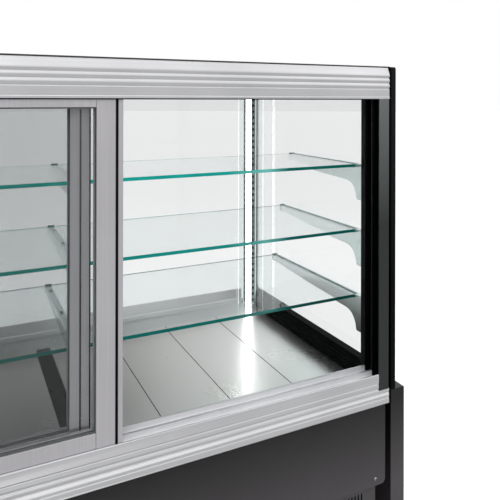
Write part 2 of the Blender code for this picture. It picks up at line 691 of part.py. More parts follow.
def build():
    satin = make_material("satin_aluminium", (0.62, 0.62, 0.64), 0.85, 0.38)
    black = make_material("black_anodised", (0.012, 0.012, 0.013), 0.3, 0.35)
    charcoal = make_material("charcoal_paint", (0.045, 0.043, 0.045), 0.0, 0.45)
    steel = make_material("brushed_steel", (0.60, 0.60, 0.60), 1.0, 0.30)
    clear = make_material("clear_glass", (0.85, 0.93, 0.91), 0.0, 0.02, 0.20)
    shelf_glass = make_material("shelf_glass", (0.55, 0.85, 0.80), 0.0, 0.02, 0.30)
    cast = make_material("cast_bracket", (0.50, 0.52, 0.51), 0.9, 0.22)
    lamp = make_material("lamp_profile", (0.80, 0.82, 0.82), 0.6, 0.35)
    nylon = make_material("white_nylon", (0.75, 0.75, 0.72), 0.0, 0.45)
    insulation = make_material("tub_lining", (0.55, 0.56, 0.56), 0.0, 0.55)
    zinc = make_material("zinc_sheet", (0.50, 0.50, 0.51), 0.9, 0.45)
    rubber = make_material("foot_rubber", (0.03, 0.03, 0.03), 0.0, 0.7)

    roof_panel(charcoal)
    head_rail(satin)
    bottom_rail(satin)
    for name, side in (("right", -1), ("left", 1)):
        rear_jamb(f"rear_jamb_{name}", side, black)
        end_frame(f"end_frame_{name}", side, black)
        side_glass(f"side_glass_{name}", side, clear)
        side_rail(f"side_rail_{name}", side, black)
        corner_light(f"corner_light_{name}", side, lamp)
        base_end_panel(f"base_end_panel_{name}", side, charcoal)
    centre_frame(black)
    front_glass(clear)
    air_grille(steel)
    deck_trays(steel)
    for place, (top, depth) in SHELVES.items():
        shelf(f"shelf_{place}", top, depth, shelf_glass)
    shelf_brackets(cast)
    for hand in TRACKS:
        door(hand, satin, clear, nylon)
    well_tub(insulation)
    front_panel(charcoal)
    service_panel(charcoal)
    light_switch(black)
    louvre_panel(charcoal)
    base_floor(zinc)
    compressor(black)
    condenser(zinc)
    fan_y = rear(CONDENSER_REAR + 0.050 + 0.0143)
    fan("condenser_fan", (CONDENSER_X, fan_y, CONDENSER_Z), (math.pi / 2, 0.0, 0.0), nylon)
    fan("evaporator_fan", EVAPORATOR_FAN, (0.0, 0.0, 0.0), nylon)
    for number, place in enumerate(foot_places(), 1):
        foot(f"levelling_foot_{number}", place, rubber)


clear_scene()
PARTS = new_collection("bakery_display_case")
CUTTERS = new_collection("cutters")
build()
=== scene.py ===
"""Looks of the refrigerated bakery display case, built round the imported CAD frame.

Metres, +Z up, staff side +Y. Glass, lamps and floor are tuned for their look and aren't measured properties.
"""
import math

import bmesh
import bpy
from mathutils import Euler, Matrix, Vector


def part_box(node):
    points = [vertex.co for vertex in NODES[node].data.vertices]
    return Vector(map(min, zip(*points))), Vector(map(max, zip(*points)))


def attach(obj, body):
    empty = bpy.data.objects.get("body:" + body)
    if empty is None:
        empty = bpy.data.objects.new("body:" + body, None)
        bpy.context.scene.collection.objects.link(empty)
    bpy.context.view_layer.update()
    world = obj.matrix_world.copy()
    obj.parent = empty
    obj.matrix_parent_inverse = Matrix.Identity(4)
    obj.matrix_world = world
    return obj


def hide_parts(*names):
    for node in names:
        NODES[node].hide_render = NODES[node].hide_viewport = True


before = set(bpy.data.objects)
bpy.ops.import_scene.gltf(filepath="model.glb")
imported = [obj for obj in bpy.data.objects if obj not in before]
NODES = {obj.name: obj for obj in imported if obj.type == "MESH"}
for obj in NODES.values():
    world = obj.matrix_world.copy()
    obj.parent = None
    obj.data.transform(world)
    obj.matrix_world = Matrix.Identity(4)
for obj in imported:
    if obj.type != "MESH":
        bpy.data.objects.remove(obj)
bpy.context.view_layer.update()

SIDES = (("right", -1), ("left", 1))

# Camera: where it stands, which way it looks in plan, and its lens
EYE = (0.2351, 1.5514, 1.266)
YAW = math.radians(153.12)
ROLL = math.radians(0.12)
LENS = 41.87
SHIFT_DOWN = 0.302

# Plans of the pieces remade here, matching the CAD nodes they replace
STILE = 0.038
GRIP_GROOVE = 0.0057
GRIP_GROOVE_DEPTH = 0.012
GRIP_LIP = 0.010
GLAZING_LAP = 0.0077
REBATE = 0.008
ROLLER_SLOT = 0.005
ROLLER_SLOT_TOP = 0.018
HAIRLINE = 0.0004
TRACKS = (0.005, 0.034)
DOOR_THICKNESS = 0.022
SILL_CHANNEL = 0.012
JAMB_NOTCH = 0.007
SHEET = 0.0012


# ---------------------------------------------------------------- meshes

class Shape:
    """Collects solids in row coordinates and turns them into one piece."""

    def __init__(self):
        self.bm = bmesh.new()

    def add(self, verts, faces, slot=0):
        made = [self.bm.verts.new(v) for v in verts]
        for face in faces:
            self.bm.faces.new([made[i] for i in face]).material_index = slot
        return made

    def prism(self, points, axis, low, high, slot=0):
        """A flat outline across an axis, extruded from low to high along it."""
        def place(u, v, w):
            return {"X": (w, u, v), "Y": (u, w, v), "Z": (u, v, w)}[axis]
        count = len(points)
        verts = [place(u, v, low) for u, v in points] + [place(u, v, high) for u, v in points]
        sides = [(i, (i + 1) % count, (i + 1) % count + count, i + count) for i in range(count)]
        self.add(verts, [tuple(range(count))[::-1], tuple(range(count, 2 * count))] + sides, slot)

    def box(self, xs, ys, zs, slot=0):
        (x0, x1), (y0, y1), (z0, z1) = (sorted(pair) for pair in (xs, ys, zs))
        self.prism([(x0, y0), (x1, y0), (x1, y1), (x0, y1)], "Z", z0, z1, slot)

    def lathe(self, profile, place, segments=16, slot=0):
        """A closed turned solid: radius and height pairs from one pole to the other."""
        rings = []
        for radius, height in profile:
            if radius < 1e-6:
                rings.append([self.bm.verts.new(place @ Vector((0, 0, height)))])
                continue
            turns = [2 * math.pi * i / segments for i in range(segments)]
            points = [Vector((radius * math.cos(a), radius * math.sin(a), height)) for a in turns]
            rings.append([self.bm.verts.new(place @ p) for p in points])
        for lower, upper in zip(rings, rings[1:]):
            for i in range(segments):
                j = (i + 1) % segments
                corners = [
                    lower[i % len(lower)], lower[j % len(lower)], upper[j % len(upper)], upper[i % len(upper)]
                ]
                face = self.bm.faces.new(list(dict.fromkeys(corners)))
                face.material_index = slot
                face.smooth = True

    def mesh(self, name):
        bmesh.ops.remove_doubles(self.bm, verts=self.bm.verts, dist=1e-6)
        bmesh.ops.recalc_face_normals(self.bm, faces=self.bm.faces)
        mesh = bpy.data.meshes.new(name)
        self.bm.to_mesh(mesh)
        self.bm.free()
        return mesh

    def piece(self, name, materials, body="case", replaces=(), slot=None, bevel=0.0, segments=2):
        return make_piece(name, self.mesh(name), materials, body, replaces, bevel, segments)


def make_piece(name, data, materials, body="case", replaces=(), bevel=0.0, segments=2):
    obj = bpy.data.objects.new(name, data)
    bpy.context.scene.collection.objects.link(obj)
    for material in materials:
        data.materials.append(material)
    if bevel:
        soften(obj, bevel, segments)
    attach(obj, body)
    if replaces:
        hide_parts(*replaces)
    return obj


def soften(obj, width, segments=2):
    """Round the sharp edges a little, so that they catch the light."""
    bevel = obj.modifiers.new("soft_edges", "BEVEL")
    bevel.width = width
    bevel.segments = segments
    bevel.limit_method = "ANGLE"
    bevel.angle_limit = math.radians(35)
    for polygon in obj.data.polygons:
        polygon.use_smooth = True
    even = obj.modifiers.new("even_normals", "WEIGHTED_NORMAL")
    even.keep_sharp = False
    even.weight = 100


def perforate(shape, origin, along, across, count, pitch, hole, corner=1.0, slot=0):
    """A flat sheet of cells, each with a hole. corner is 1 for an oval hole, and near 0 for a square one."""
    origin, along, across = Vector(origin), Vector(along), Vector(across)
    ring = [(1, 0), (1, 1), (0, 1), (-1, 1), (-1, 0), (-1, -1), (0, -1), (1, -1)]
    round_off = 1 - corner * (1 - math.sqrt(0.5))
    inner = [(u * round_off, v * round_off) if u and v else (u, v) for u, v in ring]
    for row in range(count[1]):
        for column in range(count[0]):
            centre = origin + along * pitch[0] * (column + 0.5) + across * pitch[1] * (row + 0.5)
            outer_points = [
                centre + along * (u * pitch[0] / 2) + across * (v * pitch[1] / 2) for u, v in ring
            ]
            inner_points = [centre + along * (u * hole[0] / 2) + across * (v * hole[1] / 2) for u, v in inner]
            faces = [(i, (i + 1) % 8, (i + 1) % 8 + 8, i + 8) for i in range(8)]
            shape.add(outer_points + inner_points, faces, slot)


def thicken(obj, thickness, offset=-1.0):
    solid = obj.modifiers.new("sheet", "SOLIDIFY")
    solid.thickness = thickness
    solid.offset = offset


def tube(name, points, radius, material, body="case"):
    """A smooth pipe through points."""
    curve = bpy.data.curves.new(name, "CURVE")
    curve.dimensions = "3D"
    curve.bevel_depth = radius
    curve.bevel_resolution = 3
    curve.resolution_u = 6
    curve.use_fill_caps = True
    spline = curve.splines.new("BEZIER")
    spline.bezier_points.add(len(points) - 1)
    for knot, point in zip(spline.bezier_points, points):
        knot.co = point
        knot.handle_left_type = knot.handle_right_type = "AUTO"
    return make_piece(name, curve, [material], body)


# ---------------------------------------------------------------- materials

class Paint:
    """A Principled material with helpers that add procedural detail in object space."""

    def __init__(self, name, colour, roughness, metallic=0.0, **values):
        self.material = bpy.data.materials.new(name)
        self.material.use_nodes = True
        self.nodes = self.material.node_tree.nodes
        self.links = self.material.node_tree.links
        self.shader = self.nodes["Principled BSDF"]
        self.shader.inputs["Base Color"].default_value = (*colour, 1.0)
        self.shader.inputs["Roughness"].default_value = roughness
        self.shader.inputs["Metallic"].default_value = metallic
        for socket, value in values.items():
            self.shader.inputs[socket.replace("_", " ")].default_value = value
        self.place = self.nodes.new("ShaderNodeTexCoord").outputs["Object"]
        self.height = None

    def noise(self, scale, stretch=(1, 1, 1), detail=3.0):
        mapping = self.nodes.new("ShaderNodeMapping")
        mapping.inputs["Scale"].default_value = stretch
        self.links.new(self.place, mapping.inputs["Vector"])
        noise = self.nodes.new("ShaderNodeTexNoise")
        noise.inputs["Scale"].default_value = scale
        noise.inputs["Detail"].default_value = detail
        self.links.new(mapping.outputs["Vector"], noise.inputs["Vector"])
        return noise.outputs["Fac"]

    def ramp(self, factor, stops):
        """A colour ramp over a factor: stops are pairs of position and colour or grey."""
        node = self.nodes.new("ShaderNodeValToRGB")
        elements = node.color_ramp.elements
        while len(elements) < len(stops):
            elements.new(0.5)
        for element, (position, colour) in zip(elements, stops):
            element.position = position
            element.color = (*colour, 1.0) if isinstance(colour, tuple) else (colour, colour, colour, 1.0)
        self.links.new(factor, node.inputs["Fac"])
        return node.outputs["Color"]

    def along(self, axis, low, high):
        """0 to 1 between two places along an axis."""
        split = self.nodes.new("ShaderNodeSeparateXYZ")
        self.links.new(self.place, split.inputs["Vector"])
        span = self.nodes.new("ShaderNodeMapRange")
        span.inputs["From Min"].default_value = low
        span.inputs["From Max"].default_value = high
        self.links.new(split.outputs[axis], span.inputs["Value"])
        return span.outputs["Result"]

    def multiply(self, first, second, share=1.0):
        mix = self.nodes.new("ShaderNodeMix")
        mix.data_type = "RGBA"
        mix.blend_type = "MULTIPLY"
        mix.inputs["Factor"].default_value = share
        self.links.new(first, mix.inputs["A"])
        self.links.new(second, mix.inputs["B"])
        return mix.outputs["Result"]

    def colour(self, socket):
        self.links.new(socket, self.shader.inputs["Base Color"])
        return self

    def rough(self, socket):
        self.links.new(socket, self.shader.inputs["Roughness"])
        return self

    def bump(self, socket, strength, distance=0.001):
        node = self.nodes.new("ShaderNodeBump")
        node.inputs["Strength"].default_value = strength
        node.inputs["Distance"].default_value = distance
        self.links.new(socket, node.inputs["Height"])
        if self.height:
            self.links.new(self.height, node.inputs["Normal"])
        self.height = node.outputs["Normal"]
        self.links.new(self.height, self.shader.inputs["Normal"])
        return self

    def let_lamps_through(self):
        """Glass that lamps shine through without a dark shadow."""
        clear = self.nodes.new("ShaderNodeBsdfTransparent")
        path = self.nodes.new("ShaderNodeLightPath")
        mix = self.nodes.new("ShaderNodeMixShader")
        self.links.new(path.outputs["Is Shadow Ray"], mix.inputs["Fac"])
        self.links.new(self.shader.outputs["BSDF"], mix.inputs[1])
        self.links.new(clear.outputs["BSDF"], mix.inputs[2])
        self.links.new(mix.outputs["Shader"], self.nodes["Material Output"].inputs["Surface"])
        return self


def shade(colour, amount):
    return tuple(channel * amount for channel in colour)


def anodised(name, colour, roughness=0.36, grain=(3, 260, 260), metallic=0.85):
    """Satin extrusion: fine die lines along its length, cloudy etching and a few dull patches."""
    paint = Paint(name, colour, roughness, metallic)
    clouds = paint.ramp(
        paint.noise(5.0, detail=5.0), [(0.30, shade(colour, 0.95)), (0.70, shade(colour, 1.04))]
    )
    lines = paint.ramp(paint.noise(1.0, grain, 2.0), [(0.35, 0.95), (0.65, 1.0)])
    paint.colour(paint.multiply(clouds, lines))
    paint.rough(paint.ramp(paint.noise(9.0, detail=6.0), [(0.3, roughness - 0.04), (0.75, roughness + 0.06)]))
    return paint.bump(paint.noise(1.0, grain, 2.0), 0.05, 0.0004).material


def cast_metal(name, colour):
    """Polished casting: bright, with a painted dark reflection towards the foot of the lowest arms."""
    paint = Paint(name, colour, 0.16, 0.75)
    clouds = paint.ramp(paint.noise(60.0, detail=3.0), [(0.30, shade(colour, 0.95)), (0.70, colour)])
    # painted reflection: the colour darkens towards the foot of the lowest arms
    foot = paint.ramp(paint.along("Z", 0.635, 0.735), [(0.0, 0.10), (0.55, 0.38), (0.9, 0.85), (1.0, 1.0)])
    paint.colour(paint.multiply(clouds, foot))
    return paint.bump(paint.noise(60.0, detail=2.0), 0.05, 0.0004).material


def brushed(name, colour, roughness, grain, metallic=1.0, smear=0.06, relief=0.10, streak=0.10):
    """Stainless sheet with a directional brushed grain and faint smears."""
    paint = Paint(name, colour, roughness, metallic)
    strokes = paint.noise(1.0, grain, 4.0)
    paint.colour(
        paint.ramp(strokes, [(0.30, shade(colour, 1 - streak)), (0.72, shade(colour, 1 + streak / 2))])
    )
    smears = paint.ramp(paint.noise(4.0, detail=3.0), [(0.30, roughness - smear), (0.75, roughness + smear)])
    return paint.rough(smears).bump(strokes, relief, 0.0005).material


def powder_coat(name, top, bottom, heights, roughness=0.42, sheen=0.5):
    """Powder-coated sheet: orange-peel texture, painted light and shade graded with height, and scuffs."""
    paint = Paint(name, top, roughness, 0.0, Specular_IOR_Level=sheen)
    # painted light and shade: the colour runs from the bottom tone to the top tone between the two heights
    painted_height_light = paint.ramp(paint.along("Z", *heights), [(0.0, bottom), (1.0, top)])
    clouds = paint.ramp(paint.noise(3.0, detail=6.0), [(0.30, 0.90), (0.70, 1.0)])
    paint.colour(paint.multiply(painted_height_light, clouds))
    paint.rough(
        paint.ramp(paint.noise(14.0, detail=8.0), [(0.35, roughness - 0.05), (0.70, roughness + 0.08)])
    )
    return paint.bump(paint.noise(700.0, detail=1.0), 0.05, 0.0003).material


def smooth_black(name):
    """Extruded black plastic: even and almost matt, with only faint clouding."""
    paint = Paint(name, (0.004, 0.005, 0.005), 0.50, 0.0, Specular_IOR_Level=0.02)
    clouds = paint.noise(8.0, detail=3.0)
    return paint.colour(
        paint.ramp(clouds, [(0.3, (0.003, 0.004, 0.004)), (0.7, (0.005, 0.006, 0.006))])
    ).material


def jamb_with_painted_reflection(name):
    """Black anodised upright: near black in its grooves, with a painted reflection that makes the rear face
    greyer towards its top.
    """
    paint = Paint(name, (0.03, 0.03, 0.03), 0.34, 0.0, Specular_IOR_Level=0.12)
    painted_reflection_rise = paint.ramp(
        paint.along("Z", 0.95, 1.30), [(0.0, (0.036, 0.039, 0.039)), (1.0, (0.170, 0.180, 0.183))]
    )
    # mask: the painted reflection shows on the rear face only, and the rest stays near black
    face = paint.ramp(paint.along("Y", 0.3850, 0.3870), [(0.0, 0.03), (1.0, 1.0)])
    return paint.colour(paint.multiply(painted_reflection_rise, face)).bump(
        paint.noise(700.0, detail=1.0), 0.06, 0.0003
    ).material


def plastic(name, colour, roughness, texture=500.0):
    paint = Paint(name, colour, roughness, 0.0)
    paint.colour(
        paint.ramp(paint.noise(30.0, detail=4.0), [(0.3, shade(colour, 0.9)), (0.7, shade(colour, 1.08))])
    )
    return paint.bump(paint.noise(texture, detail=1.0), 0.08, 0.0003).material


def pane(name, tint, smear=0.004, ior=1.46):
    """Flat glass with a faint tint and almost invisible smears."""
    paint = Paint(name, tint, 0.0, 0.0, Transmission_Weight=1.0, IOR=ior)
    paint.rough(paint.ramp(paint.noise(6.0, detail=5.0), [(0.45, 0.0), (0.80, smear)]))
    return paint.let_lamps_through().material


def glass_edge(name):
    """Polished shelf edge: emission stands in for light carried in the glass, brightest by the right lamp."""
    paint = Paint(name, (0.001, 0.035, 0.030), 0.10, 0.0, Specular_IOR_Level=0.08, Emission_Strength=1.0)
    stops = [(0.0, (0.002, 0.075, 0.062)), (0.145, (0.002, 0.100, 0.088)), (0.19, (0.150, 0.500, 0.470))]
    stops += [(0.228, (0.100, 0.430, 0.400)), (0.26, (0.006, 0.320, 0.285)), (0.43, (0.006, 0.330, 0.285))]
    stops += [(1.0, (0.004, 0.150, 0.130))]
    sweep = paint.ramp(paint.along("X", -0.735, 0.735), stops)
    storeys = paint.ramp(paint.along("Z", 0.74, 1.09), [(0.0, 0.30), (0.5, 0.72), (1.0, 1.0)])
    flaws = paint.ramp(paint.noise(1.0, (18, 1, 160), 3.0), [(0.35, 0.75), (0.65, 1.0)])
    paint.links.new(
        paint.multiply(paint.multiply(sweep, storeys), flaws), paint.shader.inputs["Emission Color"]
    )
    return paint.bump(paint.noise(60.0), 0.05).material


def lamp(name, colour, strength):
    """A surface that glows in soft bands, as over a row of diodes."""
    paint = Paint(name, (0.9, 0.9, 0.9), 0.4)
    paint.shader.inputs["Emission Strength"].default_value = strength
    wave = paint.nodes.new("ShaderNodeTexWave")
    wave.bands_direction = "Z"
    wave.inputs["Scale"].default_value = 9.0
    paint.links.new(paint.place, wave.inputs["Vector"])
    glow = paint.ramp(wave.outputs["Color"], [(0.0, shade(colour, 0.93)), (1.0, colour)])
    paint.links.new(glow, paint.shader.inputs["Emission Color"])
    return paint.material


ALUMINIUM = anodised("satin_aluminium", (0.69, 0.69, 0.705))
DOOR_ALUMINIUM = anodised("door_aluminium", (0.64, 0.625, 0.65), 0.38, (260, 260, 3))
CAST = cast_metal("cast_bracket", (0.80, 0.90, 0.885))
CAST_TIP = cast_metal("cast_tip", (0.42, 0.50, 0.49))
# Track liner: near white, partly a real liner and partly painted light that brightens the shaded channels.
TRACK_LINER_LIGHT = anodised("track_liner_painted_light", (0.90, 0.90, 0.915), 0.40, (3, 260, 260), 0.5)
TRAY_STEEL = brushed(
    "tray_steel", (0.82, 0.81, 0.795), 0.28, (900, 3, 3), smear=0.008, relief=0.012, streak=0.025
)
GRILLE_STEEL = brushed("grille_steel", (0.76, 0.775, 0.775), 0.34, (8, 700, 700), smear=0.02, relief=0.05)
ZINC = brushed("zinc_sheet", (0.46, 0.47, 0.48), 0.42, (30, 30, 30))
FIN_ALUMINIUM = brushed("fin_aluminium", (0.50, 0.51, 0.52), 0.40, (900, 6, 6))
COPPER = brushed("copper_pipe", (0.72, 0.36, 0.22), 0.32, (40, 40, 40))
# Black frame with painted shade: darker towards the bottom, from 1.20 m down to 0.80 m.
BLACK = powder_coat(
    "black_anodised", (0.010, 0.011, 0.012), (0.0025, 0.0025, 0.0025), (0.80, 1.20), 0.32, 0.05
)
RIB_BLACK = smooth_black("rib_black")
# Near black and matt: real seal strips in the jamb grooves, and strips that paint shadow lines under the head
# rail and between trays.
PILE_AND_SHADOW_BLACK = powder_coat("pile_and_painted_shadow_black", (0.0012, 0.0014, 0.0014), (0.0012, 0.0014, 0.0014), (0.0, 1.0), 0.9, 0.0)
JAMB_BLACK = jamb_with_painted_reflection("jamb_black")
# Charcoal panels with painted light: far lighter towards the bottom, from 0.50 m down to 0.28 m.
CHARCOAL = powder_coat(
    "charcoal_paint", (0.008, 0.0078, 0.008), (0.076, 0.070, 0.075), (0.28, 0.50), 0.42, 0.34
)
ROOF_PAINT = powder_coat("roof_paint", (0.030, 0.029, 0.030), (0.030, 0.029, 0.030), (0.0, 1.0))
DARK_PLASTIC = plastic("black_plastic", (0.012, 0.012, 0.012), 0.45)
RUBBER = plastic("black_rubber", (0.010, 0.010, 0.010), 0.65)
NYLON = plastic("white_nylon", (0.72, 0.72, 0.69), 0.42)
LINING = plastic("tub_lining", (0.42, 0.43, 0.43), 0.50)
CLEAR = pane("clear_glass", (0.745, 0.755, 0.755), ior=1.30)
SHELF_FACE = pane("shelf_glass", (0.92, 0.965, 0.96))
SHELF_EDGE = glass_edge("shelf_glass_edge")
DIFFUSER = lamp("lamp_diffuser", (1.0, 1.0, 1.0), 5.0)
SLOT_STEEL = brushed("slotted_strip", (0.66, 0.75, 0.74), 0.34, (8, 8, 300), metallic=0.5)


# ---------------------------------------------------------------- CAD nodes that stay

def dress(name, material, bevel=0.0, segments=2):
    """Give a CAD node its material, and soften its edges with modifiers."""
    obj = NODES[name]
    obj.data.materials.clear()
    obj.data.materials.append(material)
    if bevel:
        weld = obj.modifiers.new("weld", "WELD")
        weld.merge_threshold = 0.00002
        soften(obj, bevel, segments)
    return obj


def dress_frame():
    dress("roof_panel", ROOF_PAINT, 0.0008)
    dress("head_rail", ALUMINIUM, 0.0005)
    dress("bottom_rail", ALUMINIUM, 0.0005)
    dress("centre_frame", BLACK, 0.0015)
    dress("front_glass", CLEAR, 0.0010)
    dress("front_panel", CHARCOAL, 0.0020, 3)
    dress("service_panel", CHARCOAL, 0.0008)
    dress("base_floor", ZINC, 0.0005)
    dress("well_tub", LINING, 0.0030, 3)
    dress("compressor", DARK_PLASTIC, 0.0020)
    dress("light_switch", DARK_PLASTIC, 0.0006)
    dress("evaporator_fan", NYLON, 0.0006)
    dress("condenser_fan", NYLON, 0.0006)
    for side, _ in SIDES:
        dress(f"rear_jamb_{side}", JAMB_BLACK, 0.0008)
        dress(f"end_frame_{side}", BLACK, 0.0010)
        dress(f"side_glass_{side}", CLEAR, 0.0006)
        dress(f"side_rail_{side}", RIB_BLACK, 0.0004)
        dress(f"base_end_panel_{side}", CHARCOAL, 0.0035, 4)
        dress(f"door_{side}_glass", CLEAR, 0.0005)
        for number in (1, 2):
            dress(f"door_{side}_roller_{number}", NYLON, 0.0004)
    for number in range(1, 9):
        dress(f"deck_tray_{number}", TRAY_STEEL, 0.0004)
    for number in range(1, 5):
        dress(f"levelling_foot_{number}", DARK_PLASTIC, 0.0010)


# ---------------------------------------------------------------- remade pieces

def shelves():
    """Float glass shelves: clear faces, green polished edges."""
    arris = 0.0008
    for place in ("top", "middle", "bottom"):
        low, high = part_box(f"shelf_{place}")
        shape = Shape()
        outline = [
            (low.y, low.z + arris), (low.y + arris, low.z), (high.y - arris, low.z), (high.y, low.z + arris)
        ]
        outline += [
            (high.y, high.z - arris), (high.y - arris, high.z), (low.y + arris, high.z),
            (low.y, high.z - arris)
        ]
        shape.prism(outline, "X", low.x, high.x)
        shape.bm.faces.ensure_lookup_table()
        for face in shape.bm.faces:
            face.normal_update()
            if abs(face.normal.z) < 0.9:
                face.material_index = 1
        shape.piece(
            f"glass_shelf_{place}", [SHELF_FACE, SHELF_EDGE], replaces=[f"shelf_{place}"], slot="shelf_glass"
        )


def bracket_detail():
    """Each arm keeps its CAD casting and gains a stop at its nose and pads under the glass."""
    for place in ("top", "middle", "bottom"):
        for end in ("right", "left", "centre"):
            node = f"bracket_{place}_{end}"
            low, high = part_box(node)
            dress(node, CAST, 0.0022, 3)
            shelf_low, shelf_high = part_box(f"shelf_{place}")
            middle, half = (low.x + high.x) / 2, (high.x - low.x) / 2
            nose = Shape()
            front, foot = shelf_low.y - 0.0045, shelf_low.z - 0.0190
            nose.box((low.x, high.x), (front, shelf_low.y - 0.0005), (foot, shelf_high.z + 0.0025))
            nose.box(
                (low.x + 0.001, high.x - 0.001), (front + 0.001, low.y + 0.006),
                (foot + 0.001, shelf_low.z - 0.0006)
            )
            nose.piece(f"{node}_nose", [CAST_TIP], slot="cast_bracket", bevel=0.0012)
            pads = Shape()
            for step in range(3):
                y = low.y + 0.04 + step * (shelf_high.y - low.y - 0.08) / 2
                pads.box(
                    (middle - half * 0.4, middle + half * 0.4), (y - 0.012, y + 0.012),
                    (shelf_low.z - 0.0011, shelf_low.z)
                )
            pads.piece(f"{node}_pads", [RUBBER], slot="foot_black", bevel=0.0003, segments=1)


def door_members(hand, closing):
    """Two stiles and two rails, with hairline joints, a finger groove and a roller slot."""
    low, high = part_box(f"door_{hand}_frame")
    y_out, y_in = high.y, low.y
    x_close, x_meet = (low.x, high.x) if closing < 0 else (high.x, low.x)
    grip = GRIP_LIP + GRIP_GROOVE + STILE
    step = -closing

    def section(depth):
        """The member's section from its outer edge (0) to the window edge (depth)."""
        return [
            (depth, y_out), (depth, y_out - REBATE), (depth - GLAZING_LAP, y_out - REBATE),
            (depth - GLAZING_LAP, y_in)
        ]

    shape = Shape()
    plan = [
        (0, y_in), (0, y_out - 0.001), (0.0012, y_out), (GRIP_LIP, y_out),
        (GRIP_LIP, y_out - GRIP_GROOVE_DEPTH)
    ]
    groove_end = GRIP_LIP + GRIP_GROOVE
    plan += [(groove_end, y_out - GRIP_GROOVE_DEPTH), (groove_end, y_out)] + section(grip)
    shape.prism([(x_close + step * u, y) for u, y in plan], "Z", low.z, high.z)
    plan = [(0, y_in), (0, y_out)] + section(STILE)
    shape.prism([(x_meet - step * u, y) for u, y in plan], "Z", low.z, high.z)
    ends = (x_close + step * (grip + HAIRLINE), x_meet - step * (STILE + HAIRLINE))
    y_mid = (y_out + y_in) / 2
    face, heel = STILE + 0.001, STILE + 0.001 - GLAZING_LAP
    bottom = [
        (y_mid + ROLLER_SLOT, low.z), (y_out, low.z), (y_out, low.z + face), (y_out - REBATE, low.z + face)
    ]
    bottom += [
        (y_out - REBATE, low.z + heel), (y_in, low.z + heel), (y_in, low.z), (y_mid - ROLLER_SLOT, low.z)
    ]
    bottom += [(y_mid - ROLLER_SLOT, low.z + ROLLER_SLOT_TOP), (y_mid + ROLLER_SLOT, low.z + ROLLER_SLOT_TOP)]
    shape.prism(bottom, "X", *sorted(ends))
    top = [(y_out, high.z), (y_out, high.z - STILE), (y_out - REBATE, high.z - STILE)]
    top += [
        (y_out - REBATE, high.z - STILE + GLAZING_LAP), (y_in, high.z - STILE + GLAZING_LAP), (y_in, high.z)
    ]
    shape.prism(top, "X", *sorted(ends))
    body = f"door_{hand}"
    shape.piece(f"{body}_members", [DOOR_ALUMINIUM], body, [f"{body}_frame"], "satin_aluminium", bevel=0.0007)
    groove = Shape()
    skin = 0.0003
    groove_x = (x_close + step * (GRIP_LIP + skin), x_close + step * (groove_end - skin))
    groove.box(
        groove_x, (y_out - GRIP_GROOVE_DEPTH + skin, y_out - GRIP_GROOVE_DEPTH + 0.0015), (low.z, high.z)
    )
    for edge in groove_x:
        inward = 0.0006 if edge == min(groove_x) else -0.0006
        groove.box(
            (edge, edge + inward), (y_out - GRIP_GROOVE_DEPTH + 0.0015, y_out - 0.0010), (low.z, high.z)
        )
    groove.piece(f"{body}_groove_liner", [RUBBER], body, slot="foot_black")
    gaskets(hand, y_in)


def ring(shape, xs, ys, zs, width, slot=0):
    """A rectangular frame in the XZ plane, just inside the given spans."""
    (x0, x1), (z0, z1) = sorted(xs), sorted(zs)
    shape.box((x0, x0 + width), ys, (z0, z1), slot)
    shape.box((x1 - width, x1), ys, (z0, z1), slot)
    shape.box((x0 + width, x1 - width), ys, (z0, z0 + width), slot)
    shape.box((x0 + width, x1 - width), ys, (z1 - width, z1), slot)


def gaskets(hand, y_in):
    """The seal that shows round a door's pane, and the bead that clips the pane in from inside."""
    low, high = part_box(f"door_{hand}_glass")
    seal = Shape()
    ring(
        seal, (low.x + 0.0072, high.x - 0.0072), (high.y + 0.0002, high.y + 0.0040),
        (low.z + 0.0072, high.z - 0.0072), 0.0024
    )
    body = f"door_{hand}"
    seal.piece(f"{body}_seal", [SEAL], body, slot="foot_black", bevel=0.0006)
    bead = Shape()
    ring(
        bead, (low.x + 0.0005, high.x - 0.0005), (y_in + 0.0002, low.y - 0.0002),
        (low.z + 0.0005, high.z - 0.0005), 0.0100
    )
    bead.piece(f"{body}_bead", [DOOR_ALUMINIUM], body, slot="satin_aluminium", bevel=0.0010)


SEAL = plastic("grey_seal", (0.10, 0.115, 0.11), 0.5)


def meeting_brush(hand, closing):
    """A brush seal down the meeting stile, on the side that faces the other door."""
    low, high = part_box(f"door_{hand}_frame")
    x_meet = high.x if closing < 0 else low.x
    inward = closing
    y_face, towards = (low.y, -1) if hand == "right" else (high.y, 1)
    brush = Shape()
    tufts, reach = 180, 0.0028
    pitch = (high.z - low.z - 0.02) / tufts
    for i in range(tufts):
        z = low.z + 0.01 + pitch * i
        x = x_meet + inward * (0.016 + 0.0006 * (i % 2))
        ys = (y_face + towards * 0.0001, y_face + towards * (reach - 0.0004 * (i % 3)))
        brush.box((x, x + inward * 0.0030), ys, (z, z + pitch * 0.62))
    brush.piece(f"door_{hand}_brush", [RUBBER], f"door_{hand}", slot="foot_black")


